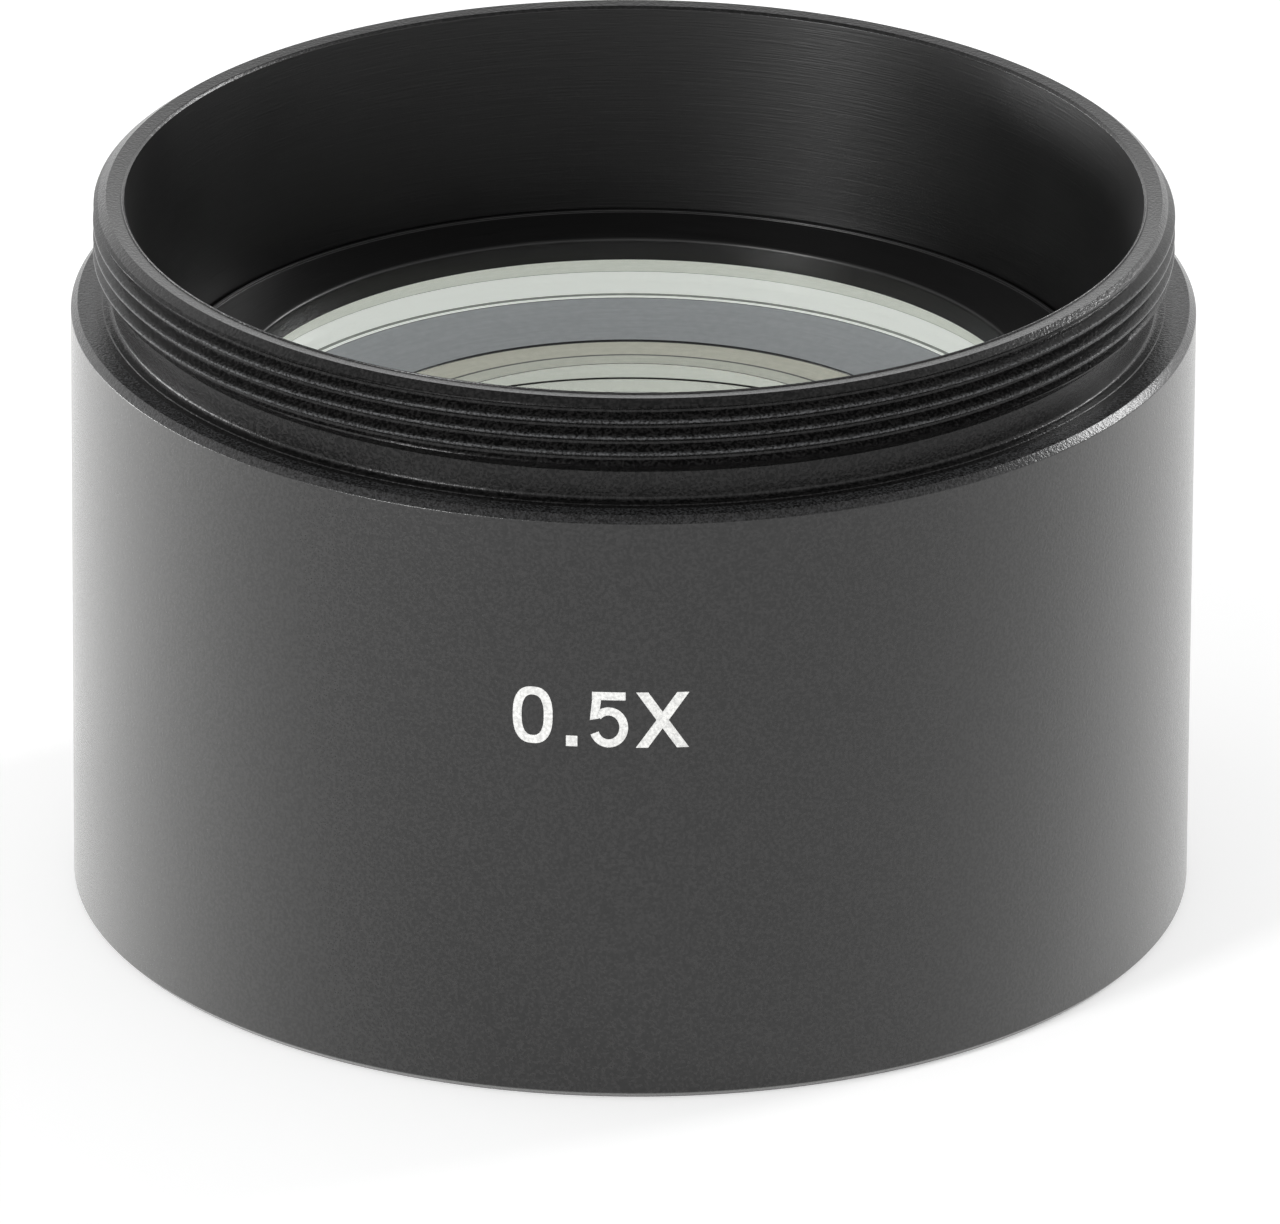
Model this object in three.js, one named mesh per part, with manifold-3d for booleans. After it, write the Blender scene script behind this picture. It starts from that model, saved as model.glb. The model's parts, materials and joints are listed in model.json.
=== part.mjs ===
// A 0.5X auxiliary lens for a stereo microscope: a black anodised barrel with an M48 x 0.75 thread on
// top, a lens cell loaded from below, and a cemented negative doublet held in the cell by a ring.
// Millimetres, +Z up, towards the microscope. The origin is the centre of the barrel's bottom face.

import * as THREE from 'three';
import { mergeVertices } from 'three/addons/utils/BufferGeometryUtils.js';
import Module from 'manifold-3d';

const wasm = await Module();
wasm.setup();

// ---- driving dimensions ----------------------------------------------------------------------

const segments = 48;             // flats around every turned surface

// barrel
const bodyHeight = 27.7;         // bottom face to the shoulder the microscope seats on
const collarHeight = 5.0;        // shoulder to the lip
const shoulderWidth = 1.0;       // how far the barrel stands out past the thread
const edgeBreak = 0.3;           // chamfer on the barrel's outer edges

// mounting thread, M48 x 0.75
const threadRadius = 24.0;
const threadPitch = 0.75;
const threadDepth = 0.46;
const crestWidth = threadPitch / 8;
const neckHeight = 2.02;         // relief groove between the shoulder and the thread
const neckDepth = 0.85;          // thread crest down to the floor of the relief groove
const neckFillet = 0.35;
const seatStepWidth = 0.4;       // the thread's crest circle back to the small step round the neck
const seatStepHeight = 0.08;
const lipFlatWidth = 0.65;
const lipInnerBreak = 0.15;
const lipWall = 1.4;             // thread crest to the mouth of the bore
const lipChamferDrop = 0.4;

// bore
const coneDraw = 1.45;           // how much the bore narrows from the mouth down to the cell
const cellDepth = 9.4;           // lip down to the top face of the cell
const mouthEntryBreak = 0.5;     // chamfer at the barrel's bottom opening

// lens cell
const slideClearance = 0.15;     // radial gap between turned pieces that slide into each other
const cellWall = 2.65;
const cellLipThickness = 1.1;    // lip over the glass
const cellLipReach = 0.4;        // how far the lip covers the glass edge
const cellEdgeBreak = 0.12;
const cellRimWidth = 0.15;       // raised rim round the outside of the top face
const cellRimHeight = 0.12;
const flangeReach = 1.35;
const flangeHeight = 2.0;
const gasketThickness = 0.5;
const cellTail = 0.4;            // the cell's end past the retaining ring

// glass, a cemented negative doublet with a flat top face
const cementSurfaceRadius = 150;
const bottomSurfaceRadius = 110;
const crownEdge = 5.9;           // thickness of the upper element at its edge
const cementThickness = 0.05;
const glassBevel = 0.15;         // edge break round the top face
const seamBevel = 0.3;           // edge break at the cemented seam
const flintBevelWidth = 3.55;    // wide ground bevel from the seam down to the land
const flintBevelHeight = 2.1;
const landStep = 0.25;           // small step from the bevel to the flat ground land
const landWidth = 1.45;
const surfaceSteps = 6;          // straight stretches along each curved glass surface

// rings
const slipRingThickness = 0.4;
const ringSetBack = 0.2;         // bore of the rings past the polished lower surface
const retainingRingHeight = 2.0;
const spannerSlotWidth = 1.5;
const spannerSlotDepth = 0.8;
const frontRecess = 0.6;         // bottom face up to the front ring
const frontRingTopWidth = 3.6;
const frontRingBottomWidth = 1.7;
const glareGrooves = 8;
const glareGrooveDepth = 0.35;

// ---- sizes that follow -----------------------------------------------------------------------

const barrelRadius = threadRadius + shoulderWidth;
const lipHeight = bodyHeight + collarHeight;
const threadBottom = bodyHeight + neckHeight;
const neckRadius = threadRadius - neckDepth;
const threadRoot = threadRadius - threadDepth;
const mouthRadius = threadRadius - lipWall;
const boreRadius = mouthRadius - coneDraw;

const cellRadius = boreRadius - slideClearance;
const cellTop = lipHeight - cellDepth;
const pocketRadius = cellRadius - cellWall;
const lensRadius = pocketRadius - slideClearance;
const flangeRadius = cellRadius + flangeReach;
const lowerBoreRadius = flangeRadius + slideClearance;

const sag = (curvature, r) => curvature - Math.sqrt(curvature * curvature - r * r);
const lensTop = cellTop - cellLipThickness;
const seamRadius = lensRadius - seamBevel;
const seamHeight = lensTop - crownEdge;
const crownBottomCentre = seamHeight + sag(cementSurfaceRadius, seamRadius);
const flintTopCentre = crownBottomCentre - cementThickness;
const bevelFootRadius = seamRadius - flintBevelWidth;
const bevelFootHeight = seamHeight - cementThickness - flintBevelHeight;
const landOuterRadius = bevelFootRadius - landStep / 2;
const landInnerRadius = landOuterRadius - landWidth;
const lensBottom = bevelFootHeight - landStep;
const flintBottomCentre = lensBottom + sag(bottomSurfaceRadius, landInnerRadius);
const ringBore = landInnerRadius + ringSetBack;

const slipRingBottom = lensBottom - slipRingThickness;
const retainingRingBottom = slipRingBottom - retainingRingHeight;
const cellBottom = retainingRingBottom - cellTail;
const flangeTop = cellBottom + flangeHeight;
const gasketTop = flangeTop + gasketThickness;

// ---- turning and cutting ---------------------------------------------------------------------

// Turns a closed outline of [radius, height] points about Z. The outline may run either way round.
function turned(outline) {
  const twiceArea = outline.reduce((sum, [r, z], i) => {
    const [nextR, nextZ] = outline[(i + 1) % outline.length];
    return sum + r * nextZ - nextR * z;
  }, 0);
  const loop = twiceArea > 0 ? [...outline] : [...outline].reverse();
  const onAxis = loop.findIndex(([r], i) => r === 0 && loop[(i + loop.length - 1) % loop.length][0] === 0);
  const start = Math.max(onAxis, 0);
  const points = [...loop.slice(start), ...loop.slice(0, start)];
  if (onAxis < 0) points.push(points[0]);
  const geometry = new THREE.LatheGeometry(points.map(([r, z]) => new THREE.Vector2(r, z)), segments);
  return geometry.rotateX(Math.PI / 2);
}

function toSolid(geometry) {
  const bare = geometry.clone();
  bare.deleteAttribute('normal');
  bare.deleteAttribute('uv');
  const merged = mergeVertices(bare, 1e-4);
  return new wasm.Manifold(new wasm.Mesh({
    numProp: 3,
    vertProperties: new Float32Array(merged.attributes.position.array),
    triVerts: new Uint32Array(dropSlivers(merged.index.array)),
  }));
}

// Triangles on the axis of a turned piece have two corners in one place once vertices are merged.
function dropSlivers(index) {
  const kept = [];
  for (let i = 0; i < index.length; i += 3) {
    const [a, b, c] = [index[i], index[i + 1], index[i + 2]];
    if (a !== b && b !== c && c !== a) kept.push(a, b, c);
  }
  return kept;
}

function toGeometry(solid) {
  const mesh = solid.getMesh();
  const geometry = new THREE.BufferGeometry();
  geometry.setAttribute('position', new THREE.BufferAttribute(mesh.vertProperties, 3));
  geometry.setIndex(new THREE.BufferAttribute(mesh.triVerts, 1));
  return geometry;
}

// Points along a curved glass surface, from one radius to another. Its centre is its highest point.
function glassSurface(curvature, centreHeight, fromRadius, toRadius) {
  return Array.from({ length: surfaceSteps + 1 }, (_, i) => {
    const r = fromRadius + (toRadius - fromRadius) * i / surfaceSteps;
    return [r, centreHeight - sag(curvature, r)];
  });
}

// Points of a quarter-round from the foot of a wall out onto the floor.
function filletPoints(wallRadius, floorHeight, size, steps) {
  return Array.from({ length: steps + 1 }, (_, i) => {
    const turn = i / steps * Math.PI / 2;
    return [wallRadius + size * (1 - Math.sin(turn)), floorHeight + size * (1 - Math.cos(turn))];
  });
}

// A straight bar of the thread's section, wound into a right-hand helix about Z.
function threadRidge(bottom, top) {
  const buried = 0.1;
  const flank = (threadDepth + buried) * Math.tan(Math.PI / 6);
  const section = new THREE.Shape([
    new THREE.Vector2(threadRoot - buried, -crestWidth / 2 - flank),
    new THREE.Vector2(threadRadius, -crestWidth / 2),
    new THREE.Vector2(threadRadius, crestWidth / 2),
    new THREE.Vector2(threadRoot - buried, crestWidth / 2 + flank),
  ]);
  const turns = Math.ceil((top - bottom) / threadPitch) + 1;
  const steps = turns * segments;
  const bar = new THREE.ExtrudeGeometry(section, { depth: turns, steps, bevelEnabled: false });
  const place = bar.attributes.position;
  for (let i = 0; i < place.count; i += 1) {
    const turn = place.getZ(i);
    const angle = -2 * Math.PI * turn;
    const radius = place.getX(i);
    const height = top + threadPitch / 2 + place.getY(i) - threadPitch * turn;
    place.setXYZ(i, radius * Math.cos(angle), radius * Math.sin(angle), height);
  }
  return bar;
}

// Cuts two spanner slots, opposite each other, into the bottom face of a ring.
function withSpannerSlots(ring, bottom, outerRadius) {
  const cutter = new THREE.BoxGeometry(2 * outerRadius + 2, spannerSlotWidth, 2 * spannerSlotDepth);
  cutter.translate(0, 0, bottom);
  return toGeometry(toSolid(ring).subtract(toSolid(cutter)));
}

// ---- pieces ----------------------------------------------------------------------------------

function barrel() {
  const neckFloor = bodyHeight + seatStepHeight;
  const stepRadius = threadRadius - seatStepWidth;
  const lipFlatRadius = mouthRadius + lipInnerBreak + lipFlatWidth;
  const body = turned([
    [barrelRadius - edgeBreak, 0],
    [barrelRadius, edgeBreak],
    [barrelRadius, bodyHeight - edgeBreak],
    [barrelRadius - edgeBreak, bodyHeight],
    [stepRadius, bodyHeight],
    [stepRadius, neckFloor],
    ...filletPoints(neckRadius, neckFloor, neckFillet, 3),
    [neckRadius, threadBottom - (threadRoot - neckRadius)],
    [threadRoot, threadBottom],
    [threadRoot, lipHeight - lipChamferDrop],
    [lipFlatRadius, lipHeight],
    [mouthRadius + lipInnerBreak, lipHeight],
    [mouthRadius, lipHeight - lipInnerBreak],
    [boreRadius, cellTop],
    [boreRadius, gasketTop],
    [lowerBoreRadius, gasketTop],
    [lowerBoreRadius, mouthEntryBreak],
    [lowerBoreRadius + mouthEntryBreak, 0],
  ]);
  const inset = 0.02;            // keeps the cut ends of the ridge off the faces they run out on
  const ridgeRoom = turned([
    [threadRoot - threadDepth, threadBottom + inset],
    [threadRoot, threadBottom + inset],
    [threadRadius + inset, threadBottom + threadDepth / 2],
    [threadRadius + inset, lipHeight - lipChamferDrop - inset],
    [threadRoot - threadDepth, lipHeight - lipChamferDrop - inset],
  ]);
  const ridge = toSolid(threadRidge(threadBottom, lipHeight)).intersect(toSolid(ridgeRoom));
  return toGeometry(toSolid(body).add(ridge));
}

function lensCell() {
  const lipOpening = lensRadius - cellLipReach;
  return turned([
    [lipOpening + cellEdgeBreak, cellTop],
    [cellRadius - cellRimWidth, cellTop],
    [cellRadius - cellRimWidth, cellTop + cellRimHeight],
    [cellRadius, cellTop + cellRimHeight],
    [cellRadius, flangeTop],
    [flangeRadius, flangeTop],
    [flangeRadius, cellBottom],
    [pocketRadius, cellBottom],
    [pocketRadius, lensTop],
    [lipOpening, lensTop],
    [lipOpening, cellTop - cellEdgeBreak],
  ]);
}

function cellGasket() {
  const inner = cellRadius + slideClearance;
  return turned([
    [inner, flangeTop],
    [flangeRadius, flangeTop],
    [flangeRadius, gasketTop],
    [inner, gasketTop],
  ]);
}

function crownElement() {
  return turned([
    [0, lensTop],
    [lensRadius - glassBevel, lensTop],
    [lensRadius, lensTop - glassBevel],
    [lensRadius, seamHeight + seamBevel],
    ...glassSurface(cementSurfaceRadius, crownBottomCentre, seamRadius, 0),
  ]);
}

function cementFilm() {
  return turned([
    ...glassSurface(cementSurfaceRadius, crownBottomCentre, 0, seamRadius),
    ...glassSurface(cementSurfaceRadius, flintTopCentre, seamRadius, 0),
  ]);
}

function flintElement() {
  return turned([
    ...glassSurface(cementSurfaceRadius, flintTopCentre, 0, seamRadius),
    [bevelFootRadius, bevelFootHeight],
    [landOuterRadius, lensBottom],
    ...glassSurface(bottomSurfaceRadius, flintBottomCentre, landInnerRadius, 0),
  ]);
}

function slipRing() {
  return turned([
    [ringBore, slipRingBottom],
    [landOuterRadius, slipRingBottom],
    [landOuterRadius, lensBottom],
    [ringBore, lensBottom],
  ]);
}

function retainingRing() {
  const ring = turned([
    [ringBore + edgeBreak, retainingRingBottom],
    [lensRadius, retainingRingBottom],
    [lensRadius, slipRingBottom],
    [ringBore, slipRingBottom],
    [ringBore, retainingRingBottom + edgeBreak],
  ]);
  return withSpannerSlots(ring, retainingRingBottom, lensRadius);
}

// The ring that locks the cell in the barrel. Its bore opens downwards, with grooves against glare.
function frontRing() {
  const bottomInner = flangeRadius - frontRingBottomWidth;
  const topInner = flangeRadius - frontRingTopWidth;
  const land = 0.5;
  const grooveSpan = cellBottom - frontRecess - 2 * land;
  const grooves = [];
  for (let i = 0; i < glareGrooves; i += 1) {
    const from = i / glareGrooves;
    const low = cellBottom - land - grooveSpan * (i + 1) / glareGrooves;
    const high = cellBottom - land - grooveSpan * from;
    const radius = topInner + (bottomInner - topInner) * from;
    grooves.push([radius, high], [radius + glareGrooveDepth, low]);
  }
  const ring = turned([
    [flangeRadius, frontRecess],
    [flangeRadius, cellBottom],
    [topInner, cellBottom],
    ...grooves,
    [bottomInner, frontRecess + land],
    [bottomInner, frontRecess],
  ]);
  return withSpannerSlots(ring, frontRecess, flangeRadius);
}

// ---- finishes and assembly -------------------------------------------------------------------

const anodised = { color: 0x2c2b2c, roughness: 0.5, metalness: 0.55 };
const turnedBlack = { color: 0x191818, roughness: 0.42, metalness: 0.5 };
const crownGlass = { color: 0xe9f0ea, roughness: 0.03, metalness: 0.0 };
const flintGlass = { color: 0xe4eae2, roughness: 0.03, metalness: 0.0 };
const opticalCement = { color: 0xf0f0e6, roughness: 0.1, metalness: 0.0 };
const blackNylon = { color: 0x151515, roughness: 0.6, metalness: 0.0 };

const group = new THREE.Group();

function addPiece(name, geometry, finish) {
  const mesh = new THREE.Mesh(geometry, new THREE.MeshStandardMaterial(finish));
  mesh.name = name;
  group.add(mesh);
}

addPiece('barrel', barrel(), anodised);
addPiece('lens_cell', lensCell(), turnedBlack);
addPiece('cell_gasket', cellGasket(), blackNylon);
addPiece('crown_element', crownElement(), crownGlass);
addPiece('cement_film', cementFilm(), opticalCement);
addPiece('flint_element', flintElement(), flintGlass);
addPiece('slip_ring', slipRing(), blackNylon);
addPiece('lens_retaining_ring', retainingRing(), turnedBlack);
addPiece('front_ring', frontRing(), turnedBlack);

export default group;
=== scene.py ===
"""Looks for a 0.5X auxiliary lens: a black anodised barrel with a fine male thread, a turned lens
cell inside it, and a cemented doublet whose ground edges show through the glass."""

import json
import math

import bmesh
import bpy
import numpy as np
from mathutils import Matrix, Vector


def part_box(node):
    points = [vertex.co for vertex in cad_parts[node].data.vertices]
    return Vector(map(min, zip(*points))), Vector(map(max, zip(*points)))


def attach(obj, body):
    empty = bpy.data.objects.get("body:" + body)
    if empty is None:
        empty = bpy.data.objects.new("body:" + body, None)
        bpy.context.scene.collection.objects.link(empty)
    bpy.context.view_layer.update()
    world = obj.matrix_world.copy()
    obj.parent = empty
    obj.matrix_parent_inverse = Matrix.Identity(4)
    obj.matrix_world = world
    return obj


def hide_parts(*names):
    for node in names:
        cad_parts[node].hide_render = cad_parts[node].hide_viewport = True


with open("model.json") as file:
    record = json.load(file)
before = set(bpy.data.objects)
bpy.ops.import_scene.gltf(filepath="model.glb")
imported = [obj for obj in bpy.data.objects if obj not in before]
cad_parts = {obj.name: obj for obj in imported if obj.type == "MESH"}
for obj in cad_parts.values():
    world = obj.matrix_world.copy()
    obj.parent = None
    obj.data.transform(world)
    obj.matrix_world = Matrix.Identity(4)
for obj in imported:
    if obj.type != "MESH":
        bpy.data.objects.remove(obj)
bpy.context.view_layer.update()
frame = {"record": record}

MM = 0.001
BODY = "root"
FACETS = 384                     # flats round a turned surface
GLASS_FACETS = 256
CROWN_IOR = 1.517
FLINT_IOR = 1.648
CLEAR = (1.0, 1.0, 1.0)
CREASE = math.radians(40)        # edges sharper than this are drawn as creases

# ---- sizes taken from the frame, in millimetres ------------------------------------------------

mounts = {m["name"]: m for m in frame["record"]["mounts"]}


def low_mm(node):
    """Lowest x, y and z of a node, in millimetres."""
    return [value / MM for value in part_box(node)[0]]


def high_mm(node):
    """Highest x, y and z of a node, in millimetres."""
    return [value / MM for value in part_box(node)[1]]


barrel_radius = high_mm("barrel")[0]
lip_height = high_mm("barrel")[2]
shoulder_height = mounts["shoulder_seat"]["pos_m"][2] / MM
thread_radius = mounts["microscope_thread"]["dims"]["r_mm"]
rim_height = 0.12
cell_top = high_mm("lens_cell")[2] - rim_height
cell_bottom = low_mm("lens_cell")[2]
flange_radius = high_mm("lens_cell")[0]
flange_top = low_mm("cell_gasket")[2]
gasket_top = high_mm("cell_gasket")[2]
lens_radius = high_mm("crown_element")[0]
lens_top = high_mm("crown_element")[2]
seam_radius = high_mm("flint_element")[0]
cement_top = high_mm("cement_film")[2]
cement_low = low_mm("cement_film")[2]
flint_top = high_mm("flint_element")[2]
lens_bottom = low_mm("flint_element")[2]
slip_bottom = low_mm("slip_ring")[2]
land_radius = high_mm("slip_ring")[0]
ring_bottom = low_mm("lens_retaining_ring")[2]
front_ring_bottom = low_mm("front_ring")[2]

# ---- shape details, in millimetres -------------------------------------------------------------

slide_gap = 0.15
thread_pitch = 0.75
thread_depth = 0.46
thread_low = 29.1
thread_high = lip_height - 0.03
first_crest = 28.94              # height of one crest on the side that faces +X
neck_radius = 23.15
mouth_radius = 22.6
bore_radius = 21.15
cell_radius = bore_radius - slide_gap
rim_width = 0.15
shoulder_chamfer = 0.3
lip_opening = 17.8
pocket_radius = lens_radius + slide_gap
slot_width = 1.5
slot_depth = 0.8
seam_height = cement_low + 0.05
cement_curvature = 150.0
cement_gap = 0.02                # keeps the cemented faces from lying in one place
lower_curvature = 110.0
upper_zone = 2.2                 # how far down the darker zone on the upper glass reaches
zone_line = 0.07
land_bevel = 0.17
land_inner = land_radius - 1.45
bevel_foot = land_radius + 0.125
inner_zone = land_inner - 1.15
inner_line = 0.08
slip_inner = land_radius - 1.25
slip_clearance = 0.03            # keeps the washer's top off the land of the glass


# ---- outlines ----------------------------------------------------------------------------------

def rounded(corners, steps=4):
    """An outline of (radius, height, corner radius) corners, closed, with each corner rounded."""
    outline = []
    count = len(corners)
    for i, (r, z, fillet) in enumerate(corners):
        here = Vector((r, z))
        before = Vector(corners[i - 1][:2]) - here
        after = Vector(corners[(i + 1) % count][:2]) - here
        turn = math.pi - before.angle(after) if fillet else 0.0
        if turn < 0.02:
            outline.append((r, z))
            continue
        reach = min(fillet * math.tan(turn / 2), 0.45 * before.length, 0.45 * after.length)
        start = here + before.normalized() * reach
        end = here + after.normalized() * reach
        for k in range(steps + 1):
            t = k / steps
            point = start * (1 - t) ** 2 + here * 2 * t * (1 - t) + end * t ** 2
            outline.append((point.x, point.y))
    return outline


def sag(curvature, r):
    """How far a sphere of radius curvature falls away from its top, r from the axis."""
    return curvature - math.sqrt(curvature * curvature - r * r)


def glass_face(curvature, centre, start, end, steps=24):
    """Points along a curved glass face whose centre is its highest point."""
    radii = [start + (end - start) * i / steps for i in range(steps + 1)]
    return [(r, centre - sag(curvature, r)) for r in radii]


# ---- turned meshes -----------------------------------------------------------------------------

def finish_mesh(name, vertices, faces):
    """A closed smooth mesh in the scene, with its doubled points merged and its faces outward."""
    mesh = bpy.data.meshes.new(name)
    mesh.from_pydata([tuple(v) for v in vertices], [], faces)
    shape = bmesh.new()
    shape.from_mesh(mesh)
    bmesh.ops.remove_doubles(shape, verts=shape.verts, dist=2e-7)
    bmesh.ops.recalc_face_normals(shape, faces=shape.faces)
    shape.to_mesh(mesh)
    shape.free()
    mesh.shade_smooth()
    mesh.set_sharp_from_angle(angle=CREASE)
    piece = bpy.data.objects.new(name, mesh)
    bpy.context.scene.collection.objects.link(piece)
    return piece


def grid_faces(columns, rows):
    """Quads between neighbouring columns, each column closed on itself."""
    faces = []
    for j in range(columns):
        for i in range(rows):
            k = (i + 1) % rows
            faces.append((j * rows + i, (j + 1) * rows + i, (j + 1) * rows + k, j * rows + k))
    return faces


def wound(name, columns):
    """A closed mesh from one closed outline for each angle; the first and last column meet."""
    count = len(columns) - 1
    rows = len(columns[0])
    outline = np.array(columns, float) * MM
    angle = np.linspace(0, 2 * math.pi, count + 1)[:, None]
    x = outline[:, :, 0] * np.cos(angle)
    y = outline[:, :, 0] * np.sin(angle)
    vertices = np.stack([x, y, outline[:, :, 1]], axis=2).reshape(-1, 3)
    return finish_mesh(name, vertices, grid_faces(count, rows))


def turned(name, outline, facets=FACETS):
    """A closed mesh from one outline turned round the Z axis."""
    return wound(name, [outline] * (facets + 1))


def dress(piece, node, material):
    """Puts a piece in the place of its CAD node, with its material."""
    piece.data.materials.append(material)
    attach(piece, BODY)
    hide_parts(node)
    return piece


# ---- shader helpers ----------------------------------------------------------------------------

def math_node(tree, operation, a, b=None, clamp=False):
    node = tree.nodes.new("ShaderNodeMath")
    node.operation = operation
    node.use_clamp = clamp
    for socket, value in zip(node.inputs, (a, b)):
        if value is None:
            continue
        if isinstance(value, (int, float)):
            socket.default_value = value
        else:
            tree.links.new(value, socket)
    return node.outputs[0]


def new_group(name, inputs, outputs):
    tree = bpy.data.node_groups.new(name, "ShaderNodeTree")
    for label, kind, value in inputs:
        socket = tree.interface.new_socket(name=label, in_out="INPUT", socket_type=kind)
        socket.default_value = value
    for label, kind in outputs:
        tree.interface.new_socket(name=label, in_out="OUTPUT", socket_type=kind)
    return tree, tree.nodes.new("NodeGroupInput"), tree.nodes.new("NodeGroupOutput")


def place_group(tree, group, **values):
    node = tree.nodes.new("ShaderNodeGroup")
    node.node_tree = group
    for label, value in values.items():
        node.inputs[label.replace("_", " ")].default_value = value
    return node


def noise(tree, vector, scale, detail=2.0, roughness=0.5):
    node = tree.nodes.new("ShaderNodeTexNoise")
    node.inputs["Scale"].default_value = scale
    node.inputs["Detail"].default_value = detail
    node.inputs["Roughness"].default_value = roughness
    tree.links.new(vector, node.inputs["Vector"])
    return node.outputs["Fac"]


def scaled_noise(tree, vector, scale, detail=2.0):
    """Noise whose scale comes from a socket."""
    node = tree.nodes.new("ShaderNodeTexNoise")
    node.inputs["Detail"].default_value = detail
    tree.links.new(scale, node.inputs["Scale"])
    tree.links.new(vector, node.inputs["Vector"])
    return node.outputs["Fac"]


def mapped(tree, value, low, high, to_low=0.0, to_high=1.0):
    node = tree.nodes.new("ShaderNodeMapRange")
    node.inputs["From Min"].default_value = low
    node.inputs["From Max"].default_value = high
    node.inputs["To Min"].default_value = to_low
    node.inputs["To Max"].default_value = to_high
    tree.links.new(value, node.inputs["Value"])
    return node.outputs["Result"]


def mixed(tree, factor, a, b):
    """A colour between a and b; each is a socket or an RGB triple."""
    node = tree.nodes.new("ShaderNodeMix")
    node.data_type = "RGBA"
    tree.links.new(factor, node.inputs["Factor"])
    for socket, value in zip((node.inputs[6], node.inputs[7]), (a, b)):
        if isinstance(value, tuple):
            socket.default_value = (*value, 1.0)
        else:
            tree.links.new(value, socket)
    return node.outputs[2]


def bumped(tree, height, distance_mm, strength=1.0, after=None):
    node = tree.nodes.new("ShaderNodeBump")
    node.inputs["Strength"].default_value = strength
    node.inputs["Distance"].default_value = distance_mm * MM
    tree.links.new(height, node.inputs["Height"])
    if after is not None:
        tree.links.new(after, node.inputs["Normal"])
    return node.outputs["Normal"]


def new_material(name, colour=(0.5, 0.5, 0.5), roughness=0.5, metallic=0.0, ior=1.5):
    material = bpy.data.materials.new(name)
    material.use_nodes = True
    tree = material.node_tree
    shader = tree.nodes["Principled BSDF"]
    shader.inputs["Base Color"].default_value = (*colour, 1.0)
    shader.inputs["Roughness"].default_value = roughness
    shader.inputs["Metallic"].default_value = metallic
    shader.inputs["IOR"].default_value = ior
    return material, tree, shader


def object_place(tree):
    return tree.nodes.new("ShaderNodeTexCoord").outputs["Object"]


# ---- shader groups -----------------------------------------------------------------------------

def blasted_grain():
    """Bead-blasted pebble: a height, and a mask of the tops that catch the light."""
    tree, start, end = new_group(
        "blasted_grain",
        [("Grains per mm", "NodeSocketFloat", 4.0)],
        [("Height", "NodeSocketFloat"), ("Tops", "NodeSocketFloat")],
    )
    place = object_place(tree)
    scale = math_node(tree, "MULTIPLY", start.outputs["Grains per mm"], 1 / MM)
    coarse = scaled_noise(tree, place, scale, detail=1.0)
    fine = scaled_noise(tree, place, math_node(tree, "MULTIPLY", scale, 2.7), detail=1.0)
    height = math_node(tree, "ADD", coarse, math_node(tree, "MULTIPLY", fine, 0.45))
    tree.links.new(height, end.inputs["Height"])
    tree.links.new(mapped(tree, height, 0.62, 0.86), end.inputs["Tops"])
    return tree


def turned_place(tree):
    """The x, y and z of a point, and its distance from the axis."""
    split = tree.nodes.new("ShaderNodeSeparateXYZ")
    tree.links.new(object_place(tree), split.inputs[0])
    x, y, z = split.outputs
    squares = math_node(tree, "ADD", math_node(tree, "MULTIPLY", x, x), math_node(tree, "MULTIPLY", y, y))
    return x, y, z, math_node(tree, "SQRT", squares)


def turning_lines():
    """Fine tool marks that run round the axis: a height and a streak mask."""
    tree, start, end = new_group(
        "turning_lines",
        [("Lines per mm", "NodeSocketFloat", 8.0)],
        [("Height", "NodeSocketFloat"), ("Streaks", "NodeSocketFloat")],
    )
    cross_scale = 350.0              # coarse, so that a line hardly changes as it goes round
    x, y, z, radius = turned_place(tree)
    scale = math_node(tree, "MULTIPLY", start.outputs["Lines per mm"], 1 / MM)
    along = math_node(tree, "MULTIPLY", math_node(tree, "ADD", z, radius), scale)
    round_x = math_node(tree, "MULTIPLY", x, cross_scale)
    round_y = math_node(tree, "MULTIPLY", y, cross_scale)
    joined = tree.nodes.new("ShaderNodeCombineXYZ")
    for socket, value in zip(joined.inputs, (round_x, round_y, along)):
        tree.links.new(value, socket)
    lines = noise(tree, joined.outputs[0], 1.0, detail=3.0, roughness=0.6)
    tree.links.new(lines, end.inputs["Height"])
    tree.links.new(mapped(tree, lines, 0.45, 0.7), end.inputs["Streaks"])
    return tree


def radius_band(tree, low_radius, high_radius):
    """0 nearer the axis than low_radius and 1 past high_radius, both in millimetres."""
    radius = turned_place(tree)[3]
    return mapped(tree, radius, low_radius * MM, high_radius * MM)


def height_band(tree, low_height, high_height):
    """0 at low_height and 1 at high_height, both in millimetres; low may be the upper one."""
    height = turned_place(tree)[2]
    return mapped(tree, height, low_height * MM, high_height * MM)


GRAIN = blasted_grain()
LINES = turning_lines()


# ---- finishes ----------------------------------------------------------------------------------

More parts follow.
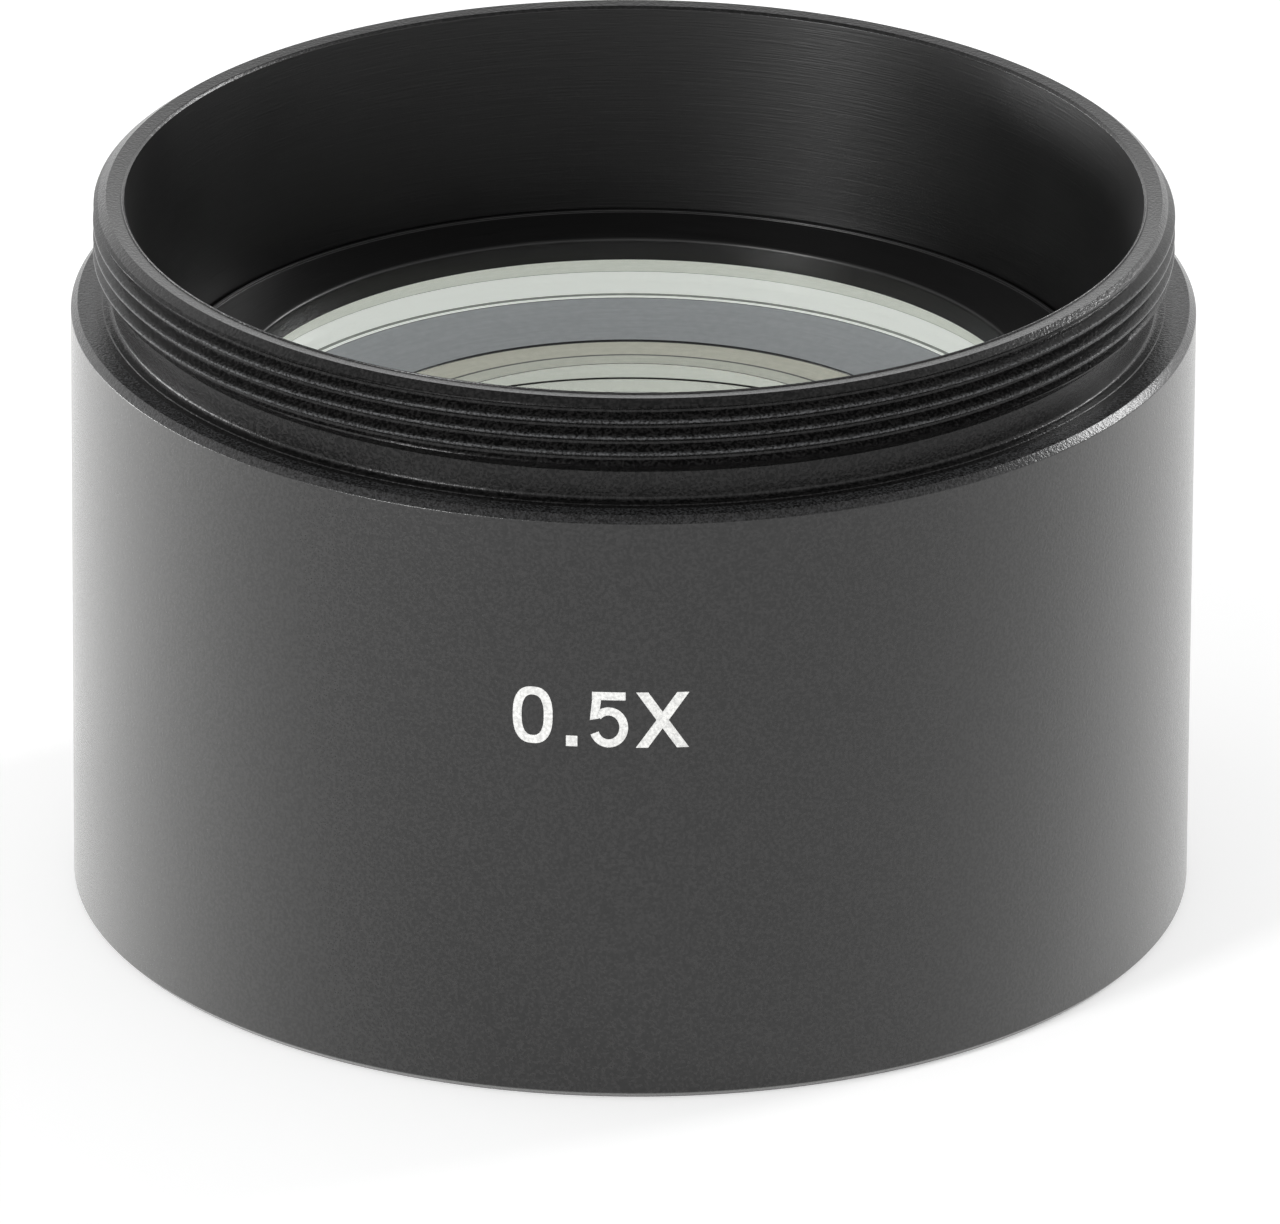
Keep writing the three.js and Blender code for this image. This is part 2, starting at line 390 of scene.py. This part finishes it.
def anodised_skin(name, gloss):
    """Bead-blasted black anodise, its pebbles' tops painted paler as painted highlights, paler still on
    the thread crests and the shoulder's edge (partly wear, partly painted glints), and a painted sheen:
    the wall painted paler where it is seen edge-on."""
    material, tree, shader = new_material(name, ior=1.52)
    shader.inputs["Specular IOR Level"].default_value = gloss
    grain = place_group(tree, GRAIN, Grains_per_mm=6.5)
    spark = place_group(tree, GRAIN, Grains_per_mm=9.0)
    chamfer_foot = shoulder_height - shoulder_chamfer
    edge_strength = 0.35
    crest = radius_band(tree, thread_radius - 0.12, thread_radius - 0.02)
    above = height_band(tree, shoulder_height - 0.05, shoulder_height + 0.02)
    rim = radius_band(tree, barrel_radius - 0.36, barrel_radius - 0.28)
    edge = height_band(tree, chamfer_foot - 0.04, chamfer_foot + 0.04)
    edge_mask = math_node(tree, "MULTIPLY", math_node(tree, "MULTIPLY", rim, edge), edge_strength)
    crest_mask = math_node(tree, "MAXIMUM", math_node(tree, "MULTIPLY", crest, above), edge_mask)
    # paler specks on the crests and the shoulder's edge: partly wear, partly painted glints
    wear_and_glint_specks = math_node(tree, "MULTIPLY", crest_mask, spark.outputs["Tops"])
    patches = noise(tree, object_place(tree), 60.0, detail=3.0)
    # the pebbles' tops are painted paler: painted highlights on the grain
    base = mixed(tree, grain.outputs["Tops"], (0.002, 0.002, 0.002), (0.0130, 0.0126, 0.0126))
    colour = mixed(tree, wear_and_glint_specks, base, (0.06, 0.061, 0.063))
    # painted sheen: the wall below the shoulder's chamfer is painted paler where it is seen edge-on
    facing = tree.nodes.new("ShaderNodeLayerWeight").outputs["Facing"]
    wall = radius_band(tree, barrel_radius - 0.25, barrel_radius - 0.2)
    below = height_band(tree, chamfer_foot, chamfer_foot - 0.04)
    painted_sheen = math_node(tree, "MULTIPLY", math_node(tree, "POWER", facing, 2.0), below)
    painted_sheen = math_node(tree, "MULTIPLY", painted_sheen, wall)
    colour = mixed(tree, painted_sheen, colour, (0.25, 0.25, 0.245))
    tree.links.new(colour, shader.inputs["Base Color"])
    rough = mapped(tree, patches, 0.3, 0.7, 0.22, 0.27)
    tree.links.new(rough, shader.inputs["Roughness"])
    normal = bumped(tree, grain.outputs["Height"], 0.016)
    normal = bumped(tree, spark.outputs["Height"], 0.006, after=normal)
    tree.links.new(normal, shader.inputs["Normal"])
    return material


def bore_skin():
    """Matt black turned bore."""
    material, tree, shader = new_material("turned_bore", ior=1.45)
    lines = place_group(tree, LINES, Lines_per_mm=12.0)
    patches = noise(tree, object_place(tree), 90.0, detail=3.0)
    base = mixed(tree, lines.outputs["Streaks"], (0.001, 0.001, 0.001), (0.003, 0.0029, 0.0029))
    tree.links.new(base, shader.inputs["Base Color"])
    tree.links.new(mapped(tree, patches, 0.3, 0.7, 0.36, 0.46), shader.inputs["Roughness"])
    tree.links.new(bumped(tree, lines.outputs["Height"], 0.008), shader.inputs["Normal"])
    return material


def turned_black():
    """Fine turned black anodise on the cell and rings."""
    material, tree, shader = new_material("turned_black", ior=1.5)
    lines = place_group(tree, LINES, Lines_per_mm=14.0)
    base = mixed(tree, lines.outputs["Streaks"], (0.004, 0.0039, 0.004), (0.008, 0.0077, 0.0078))
    tree.links.new(base, shader.inputs["Base Color"])
    rough = mapped(tree, lines.outputs["Height"], 0.3, 0.7, 0.3, 0.42)
    tree.links.new(rough, shader.inputs["Roughness"])
    tree.links.new(bumped(tree, lines.outputs["Height"], 0.006), shader.inputs["Normal"])
    return material


def nylon():
    material, tree, shader = new_material("black_nylon", (0.015, 0.015, 0.015), 0.6)
    speckle = noise(tree, object_place(tree), 3000.0)
    tree.links.new(mapped(tree, speckle, 0.3, 0.7, 0.5, 0.68), shader.inputs["Roughness"])
    tree.links.new(bumped(tree, speckle, 0.01), shader.inputs["Normal"])
    return material


def polished_glass(name, tint, ior):
    material, _, shader = new_material(name, tint, 0.0, 0.0, ior)
    shader.inputs["Transmission Weight"].default_value = 1.0
    return material


def ground_glass(name, low, high, painted_glow):
    """Finely ground glass: pale, with a painted glow (emission) for light scattered within it, and faint
    grinding streaks.
    """
    material, tree, shader = new_material(name, low, 0.65)
    # painted glow: the ground glass emits light though it is no lamp
    shader.inputs["Emission Color"].default_value = (*high, 1.0)
    shader.inputs["Emission Strength"].default_value = painted_glow
    lines = place_group(tree, LINES, Lines_per_mm=5.0)
    speckle = noise(tree, object_place(tree), 2600.0, detail=2.0)
    mask = math_node(tree, "MULTIPLY", lines.outputs["Height"], speckle)
    colour = mixed(tree, mapped(tree, mask, 0.1, 0.4), low, high)
    tree.links.new(colour, shader.inputs["Base Color"])
    tree.links.new(bumped(tree, speckle, 0.01), shader.inputs["Normal"])
    return material


def cemented_face():
    """Where two glasses are cemented, nothing shows: the face lets all light through."""
    material, _, shader = new_material("cemented_face", CLEAR, 0.0)
    shader.inputs["Alpha"].default_value = 0.0
    return material


def marking_paint():
    material, tree, shader = new_material("marking_paint", (0.8, 0.8, 0.79), 0.6)
    speckle = noise(tree, object_place(tree), 7000.0, detail=2.0)
    colour = mixed(tree, mapped(tree, speckle, 0.35, 0.65), (0.50, 0.50, 0.49), (0.72, 0.72, 0.70))
    tree.links.new(colour, shader.inputs["Base Color"])
    tree.links.new(bumped(tree, speckle, 0.02), shader.inputs["Normal"])
    return material


# ---- pieces ------------------------------------------------------------------------------------

def softened(depth, softness=0.05):
    """A share of the flank's depth held between 0 and 1, with the turns at both ends rounded."""
    depth = 0.5 * (depth + math.hypot(depth, softness))
    return 1 - 0.5 * ((1 - depth) + math.hypot(1 - depth, softness))


def thread_column(turn):
    """Points up the thread at one angle. Turn runs from 0 to 1 round the axis."""
    crest_half = 1 / 16
    flank = thread_depth * math.tan(math.radians(30)) / thread_pitch
    waist = crest_half + flank
    marks = [0.0, 0.6 * crest_half, crest_half - 0.01, crest_half + 0.01]
    marks += [crest_half + share * flank for share in (0.05, 0.15, 0.4, 0.7)]
    marks += [waist - 0.06, waist - 0.02, waist + 0.01]
    profile = [(mark, max(0.0, softened((mark - crest_half) / flank)) * thread_depth) for mark in marks]
    cycle = profile + [(1 - mark, depth) for mark, depth in reversed(profile[1:])]
    points = []
    for pitch_index in range(-2, 6):
        for mark, depth in cycle:
            climb = first_crest + (pitch_index + mark + turn) * thread_pitch
            height = min(max(climb, thread_low), thread_high)
            points.append((min(thread_radius - depth, thread_limit(height)), height))
    return points


def thread_limit(height):
    """The thread runs out into the neck below and into the lip's chamfer above."""
    run_out_slope = 1.1
    chamfer_top = 23.42
    chamfer_slope = 1.35
    run_out = neck_radius + (height - thread_low) * run_out_slope
    chamfer = chamfer_top + (thread_high - height) * chamfer_slope
    return min(run_out, chamfer, thread_radius)


def barrel():
    """The barrel, its thread wound round it, with its own skins in the bore and in the recess; the recess
    skin is a copy of the anodise that reflects less, painted shade on the neck and thread.
    """
    step_radius = 23.6
    step_top = shoulder_height + 0.05
    lower_bore = flange_radius + slide_gap
    bore_chamfer = 0.5
    foot_chamfer = 0.3
    mouth_chamfer = 0.16
    foot = [
        (lower_bore + bore_chamfer, 0.0, 0.05),
        (barrel_radius - foot_chamfer, 0.0, 0.08),
        (barrel_radius, foot_chamfer, 0.12),
        (barrel_radius, shoulder_height - shoulder_chamfer - 0.02, 0.1),
        (barrel_radius - shoulder_chamfer, shoulder_height, 0.06),
        (step_radius + 0.03, shoulder_height, 0.01),
        (step_radius, step_top, 0.04),
        (neck_radius, step_top, 0.42),
        (neck_radius, thread_low, 0.0),
    ]
    head = [
        (mouth_radius + mouth_chamfer, lip_height, 0.05),
        (mouth_radius, lip_height - mouth_chamfer, 0.05),
        (bore_radius, cell_top + rim_height, 0.03),
        (bore_radius, gasket_top, 0.02),
        (lower_bore, gasket_top, 0.1),
        (lower_bore, bore_chamfer, 0.05),
    ]
    whole = rounded(foot + head)
    cut = next(i for i, p in enumerate(whole) if abs(p[1] - thread_low) < 1e-9)
    columns = []
    for j in range(FACETS + 1):
        columns.append(whole[:cut + 1] + thread_column(j / FACETS) + whole[cut + 1:])
    piece = wound("barrel_body", columns)
    dress(piece, "barrel", anodised_skin("black_anodise", 0.5))
    piece.data.materials.append(bore_skin())
    # painted shade: the recess round the neck and thread gets a copy of the anodise that reflects less
    piece.data.materials.append(anodised_skin("shaded_recess_anodise", 0.22))

    def rule(radius, height, normal):
        if radius < mouth_radius - 0.02:
            return 1
        in_recess = shoulder_height - 0.01 < height < lip_height - 0.3
        return 2 if in_recess and radius < barrel_radius - shoulder_chamfer - 0.02 else 0

    paint_faces(piece, rule)
    return piece


def lens_cell(black):
    outline = rounded([
        (lip_opening, cell_top, 0.2),
        (cell_radius - rim_width, cell_top, 0.05),
        (cell_radius - rim_width, cell_top + rim_height, 0.12),
        (cell_radius, cell_top + rim_height, 0.04),
        (cell_radius, flange_top, 0.05),
        (flange_radius, flange_top, 0.05),
        (flange_radius, cell_bottom, 0.1),
        (pocket_radius, cell_bottom, 0.1),
        (pocket_radius, lens_top + 0.02, 0.02),
        (lip_opening, lens_top + 0.02, 0.05),
    ])
    return dress(turned("lens_cell_body", outline), "lens_cell", black)


def simple_ring(name, node, inner, outer, bottom, top, fillet, material):
    outline = rounded([(inner, bottom, fillet), (outer, bottom, fillet),
                       (outer, top, fillet), (inner, top, fillet)])
    return dress(turned(name, outline, GLASS_FACETS), node, material)


def paint_faces(piece, rule):
    """Sets each face's material number from its radius and height in millimetres and its normal."""
    for face in piece.data.polygons:
        centre = face.center / MM
        face.material_index = rule(math.hypot(centre.x, centre.y), centre.z, face.normal)


def crown_glass(cemented):
    """The upper glass: a polished flat top, a ground edge in two zones and a cemented lower face."""
    line_foot = lens_top - upper_zone - zone_line
    outline = [(0.0, lens_top), (lens_radius * 0.5, lens_top), (lens_radius - 0.15, lens_top),
               (lens_radius, lens_top - 0.15), (lens_radius, lens_top - upper_zone),
               (lens_radius, line_foot), (lens_radius, seam_height + 0.3),
               (lens_radius - 0.15, seam_height + 0.15)]
    outline += glass_face(cement_curvature, cement_top + cement_gap, seam_radius, 0.0)
    piece = turned("crown_glass", outline, GLASS_FACETS)
    dress(piece, "crown_element", polished_glass("crown_glass", CLEAR, CROWN_IOR))
    edge = ground_glass("ground_crown", (0.80, 0.84, 0.79), (0.89, 0.92, 0.88), 0.47)
    upper = ground_glass("ground_crown_upper", (0.70, 0.74, 0.66), (0.80, 0.83, 0.76), 0.34)
    line = ground_glass("ground_line", (0.30, 0.32, 0.30), (0.40, 0.42, 0.40), 0.14)
    for material in (edge, cemented, upper, line):
        piece.data.materials.append(material)

    def rule(radius, height, normal):
        if radius > seam_radius - 0.01 and normal.z < 0.5:
            if height > lens_top - upper_zone:
                return 3
            if height > line_foot or seam_height + 0.15 < height < seam_height + 0.3:
                return 4
            return 1
        return 0 if normal.z > 0 else 2

    paint_faces(piece, rule)
    return piece


def flint_glass():
    """The lower glass: a ground bevel and land round a polished face with a pale painted zone."""
    polished = land_inner - land_bevel
    centre = lens_bottom + 0.05 + sag(lower_curvature, polished)
    outline = glass_face(cement_curvature, flint_top, 0.0, seam_radius)
    outline += [(bevel_foot, lens_bottom + 0.25), (land_radius, lens_bottom), (land_inner, lens_bottom)]
    outline += glass_face(lower_curvature, centre, polished, inner_zone, 3)
    outline += glass_face(lower_curvature, centre, inner_zone, inner_zone - inner_line, 1)[1:]
    outline += glass_face(lower_curvature, centre, inner_zone - inner_line, 0.0)[1:]
    piece = turned("flint_glass", outline, GLASS_FACETS)
    cement_side = polished_glass("flint_cement_side", CLEAR, FLINT_IOR / CROWN_IOR)
    dress(piece, "flint_element", cement_side)
    lower_side = polished_glass("flint_glass", CLEAR, FLINT_IOR)
    bevel = ground_glass("ground_flint", (0.28, 0.295, 0.31), (0.35, 0.365, 0.38), 0.43)
    land = ground_glass("ground_land", (0.62, 0.62, 0.53), (0.74, 0.73, 0.64), 0.24)
    inner = ground_glass("ground_inner", (0.64, 0.66, 0.58), (0.76, 0.77, 0.69), 0.24)
    line = ground_glass("ground_inner_line", (0.18, 0.18, 0.17), (0.26, 0.26, 0.25), 0.1)
    for material in (lower_side, bevel, land, inner, line):
        piece.data.materials.append(material)

    def rule(radius, height, normal):
        if normal.z > 0.5:
            return 0
        if radius > bevel_foot:
            return 2
        if land_inner < radius < land_radius:
            return 3
        if inner_zone < radius < polished:
            return 4
        if inner_zone - inner_line < radius < inner_zone or polished < radius < land_inner:
            return 5
        return 1

    paint_faces(piece, rule)
    return piece


def cement_film(cemented):
    outline = glass_face(cement_curvature, cement_top, 0.0, seam_radius)
    outline += glass_face(cement_curvature, cement_top - 0.03, seam_radius, 0.0)
    piece = turned("cement_layer", outline, GLASS_FACETS)
    return dress(piece, "cement_film", cemented)


def slotted(ring, bottom, outer):
    """Cuts two spanner slots, opposite each other along X, into the bottom face of a ring."""
    mesh = bpy.data.meshes.new("slot_cutter")
    shape = bmesh.new()
    bmesh.ops.create_cube(shape, size=1.0)
    cutter_size = Vector((2 * outer + 2, slot_width, 2 * slot_depth)) * MM
    bmesh.ops.scale(shape, vec=cutter_size, verts=shape.verts)
    bmesh.ops.translate(shape, vec=(0, 0, bottom * MM), verts=shape.verts)
    shape.to_mesh(mesh)
    shape.free()
    cutter = bpy.data.objects.new("slot_cutter", mesh)
    bpy.context.scene.collection.objects.link(cutter)
    cut = ring.modifiers.new("slots", "BOOLEAN")
    cut.operation = "DIFFERENCE"
    cut.solver = "EXACT"
    cut.object = cutter
    graph = bpy.context.evaluated_depsgraph_get()
    ring.data = bpy.data.meshes.new_from_object(ring.evaluated_get(graph))
    ring.modifiers.remove(cut)
    bpy.data.objects.remove(cutter)
    ring.data.set_sharp_from_angle(angle=CREASE)
    return ring


def retaining_ring(black):
    outline = rounded([
        (slip_inner, ring_bottom, 0.3),
        (lens_radius, ring_bottom, 0.1),
        (lens_radius, slip_bottom, 0.05),
        (slip_inner, slip_bottom, 0.05),
    ])
    ring = slotted(turned("retaining_ring", outline), ring_bottom, lens_radius)
    return dress(ring, "lens_retaining_ring", black)


def front_ring(black):
    top_inner = flange_radius - 3.6
    bottom_inner = flange_radius - 1.7
    land = 0.5
    corners = [
        (flange_radius, front_ring_bottom, 0.15),
        (flange_radius, cell_bottom, 0.1),
        (top_inner, cell_bottom, 0.05),
    ]
    grooves = 8
    groove_depth = 0.35
    span = cell_bottom - front_ring_bottom - 2 * land
    for i in range(grooves):
        radius = top_inner + (bottom_inner - top_inner) * i / grooves
        high = cell_bottom - land - span * i / grooves
        low = cell_bottom - land - span * (i + 1) / grooves
        corners += [(radius, high, 0.02), (radius + groove_depth, low, 0.02)]
    corners += [(bottom_inner, front_ring_bottom + land, 0.02), (bottom_inner, front_ring_bottom, 0.1)]
    ring = slotted(turned("front_ring_body", rounded(corners, 2)), front_ring_bottom, flange_radius)
    return dress(ring, "front_ring", black)


# ---- magnification mark ------------------------------------------------------------------------

def ribbon(path, width, closed=False):
    """A flat stroke of one width along a path: left and right edge points with mitred corners."""
    points = [Vector(p) for p in path]
    count = len(points)
    pairs = []
    for i, here in enumerate(points):
        before = points[i - 1] if closed or i else None
        after = points[(i + 1) % count] if closed or i < count - 1 else None
        ways = [way.normalized() for way in
                ((here - before) if before is not None else None,
                 (after - here) if after is not None else None) if way is not None]
        way = sum(ways, Vector((0, 0))).normalized()
        across = Vector((-way.y, way.x))
        reach = width / 2 / max(0.4, way.dot(ways[0]))
        pairs.append((here + across * reach, here - across * reach))
    return pairs


def arc(centre_x, centre_y, radius_x, radius_y, start, end, steps):
    points = []
    for i in range(steps + 1):
        angle = math.radians(start + (end - start) * i / steps)
        points.append((centre_x + radius_x * math.cos(angle), centre_y + radius_y * math.sin(angle)))
    return points


def straight(a, b, steps=6):
    shares = [i / steps for i in range(steps + 1)]
    return [(a[0] + (b[0] - a[0]) * t, a[1] + (b[1] - a[1]) * t) for t in shares]


def mark_strokes():
    """The figure 0.5X as strips of (left, right) edge points, in millimetres from its lower left."""
    stroke = 0.38
    zero = []
    corner = 2 / 2.5                 # below 1 squares the oval's shoulders
    for i in range(73):
        angle = math.radians(5 * i)
        x = math.copysign(abs(math.cos(angle)) ** corner, math.cos(angle))
        y = math.copysign(abs(math.sin(angle)) ** corner, math.sin(angle))
        outer = Vector((0.88 + 0.88 * x, 1.38 + 1.34 * y))
        inner = Vector((0.88 + 0.49 * x, 1.38 + 0.96 * y))
        zero.append((outer, inner))
    dot = [(Vector((2.35, 0.0)), Vector((2.85, 0.0))), (Vector((2.35, 0.5)), Vector((2.85, 0.5)))]
    left = 3.36
    bar = ribbon(straight((left + 0.12, 2.43), (left + 1.58, 2.43)), stroke)
    stem = [(Vector((left + 0.13, 2.30)), Vector((left + 0.52, 2.30))),
            (Vector((left + 0.03, 1.28)), Vector((left + 0.42, 1.36)))]
    bowl = ribbon(arc(left + 0.85, 0.95, 0.66, 0.76, 138, -158, 36), stroke)
    cross = 5.40
    wide = 0.53
    reach = 2.32
    tall = 2.62
    rise = [(Vector((cross, 0.0)), Vector((cross + wide, 0.0))),
            (Vector((cross + reach - wide, tall)), Vector((cross + reach, tall)))]
    fall = [(Vector((cross + reach - wide, 0.0)), Vector((cross + reach, 0.0))),
            (Vector((cross, tall)), Vector((cross + wide, tall)))]
    return [zero, dot, bar, stem, bowl, rise, fall]


def magnification_mark():
    """Thin white figures printed on the barrel, each stroke a closed strip of paint."""
    baseline = 16.85
    start_arc = -5.19
    film = 0.012
    vertices = []
    faces = []
    for pairs in mark_strokes():
        first = len(vertices)
        closed = (pairs[0][0] - pairs[-1][0]).length < 1e-6
        if len(pairs) == 2:
            low, high = pairs
            pairs = [(low[0].lerp(high[0], k / 8), low[1].lerp(high[1], k / 8)) for k in range(9)]
        for pair in pairs:
            for radius in (barrel_radius - 0.01, barrel_radius + film):
                for point in pair:
                    angle = -math.pi / 2 + (start_arc + point.x) / barrel_radius
                    vertices.append((radius * MM * math.cos(angle), radius * MM * math.sin(angle),
                                     (baseline + point.y) * MM))
        for i in range(len(pairs) - 1):
            a = first + 4 * i
            b = a + 4
            faces += [(a + 2, b + 2, b + 3, a + 3), (a + 1, b + 1, b, a),
                      (a, b, b + 2, a + 2), (a + 3, b + 3, b + 1, a + 1)]
        if not closed:
            last = first + 4 * (len(pairs) - 1)
            faces += [(first, first + 2, first + 3, first + 1), (last + 1, last + 3, last + 2, last)]
    piece = finish_mesh("magnification_mark", vertices, faces)
    piece.data.materials.append(marking_paint())
    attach(piece, BODY)


# ---- studio ------------------------------------------------------------------------------------

def camera():
    elevation = 0.4067
    distance = 0.9214
    aim_height = 0.01251
    data = bpy.data.cameras.new("camera")
    data.sensor_width = 36
    data.lens = 579.5
    data.shift_x = 0.0064
    data.clip_end = 20
    lens = bpy.data.objects.new("camera", data)
    bpy.context.scene.collection.objects.link(lens)
    place = (0, -distance * math.cos(elevation), aim_height + distance * math.sin(elevation))
    lens.matrix_world = (Matrix.Translation(place) @ Matrix.Rotation(math.pi / 2 - elevation, 4, "X")
                         @ Matrix.Rotation(0.0057, 4, "Z"))
    bpy.context.scene.camera = lens


def soft_light(name, place, size, watts, tall=None):
    data = bpy.data.lights.new(name, "AREA")
    data.shape = "RECTANGLE"
    data.size = size
    data.size_y = tall or size
    data.energy = watts
    lamp = bpy.data.objects.new(name, data)
    bpy.context.scene.collection.objects.link(lamp)
    lamp.location = place
    aim = Vector((0, 0, 0.02)) - Vector(place)
    lamp.rotation_euler = aim.to_track_quat("-Z", "Y").to_euler()


def polar(azimuth, elevation, distance):
    a = math.radians(azimuth)
    e = math.radians(elevation)
    return (distance * math.cos(e) * math.cos(a), distance * math.cos(e) * math.sin(a),
            distance * math.sin(e))


def studio_sky():
    """White all round and dimmer overhead, like the inside of a light tent."""
    world = bpy.data.worlds.new("studio")
    world.use_nodes = True
    tree = world.node_tree
    split = tree.nodes.new("ShaderNodeSeparateXYZ")
    tree.links.new(tree.nodes.new("ShaderNodeTexCoord").outputs["Generated"], split.inputs[0])
    up = mapped(tree, split.outputs[2], 0.25, 0.9)
    colour = mixed(tree, up, (1.4, 1.4, 1.4), (0.2, 0.2, 0.2))
    tree.links.new(colour, tree.nodes["Background"].inputs["Color"])
    return world


def studio():
    scene = bpy.context.scene
    scene.view_settings.view_transform = "Standard"
    scene.cycles.max_bounces = 20
    scene.cycles.transmission_bounces = 16
    scene.cycles.transparent_max_bounces = 16
    scene.world = studio_sky()
    soft_light("front_left_softbox", polar(-135, 20, 0.8), 0.15, 3.0)
    soft_light("left_softbox", polar(160, 4, 0.9), 0.6, 4.0, 0.1)
    soft_light("right_softbox", polar(30, 28, 0.9), 0.2, 2.6)
    half = 4.0
    gap = 0.00002                # keeps the floor off the barrel's bottom face
    corners = [(-half, -half, -gap), (half, -half, -gap), (half, half, -gap), (-half, half, -gap)]
    floor = finish_mesh("floor", corners, [(0, 1, 2, 3)])
    material, _, shader = new_material("pale_floor", (0.82, 0.82, 0.82), 0.9)
    shader.inputs["Emission Color"].default_value = (1.0, 1.0, 1.0, 1.0)
    shader.inputs["Emission Strength"].default_value = 0.38
    floor.data.materials.append(material)


def build():
    camera()
    studio()
    barrel()
    black = turned_black()
    plastic = nylon()
    cemented = cemented_face()
    lens_cell(black)
    simple_ring("gasket_ring", "cell_gasket", bore_radius, flange_radius, flange_top, gasket_top, 0.1,
                plastic)
    crown_glass(cemented)
    cement_film(cemented)
    flint_glass()
    simple_ring("slip_washer", "slip_ring", slip_inner, land_radius, slip_bottom,
                lens_bottom - slip_clearance, 0.05, plastic)
    retaining_ring(black)
    front_ring(black)
    magnification_mark()


build()
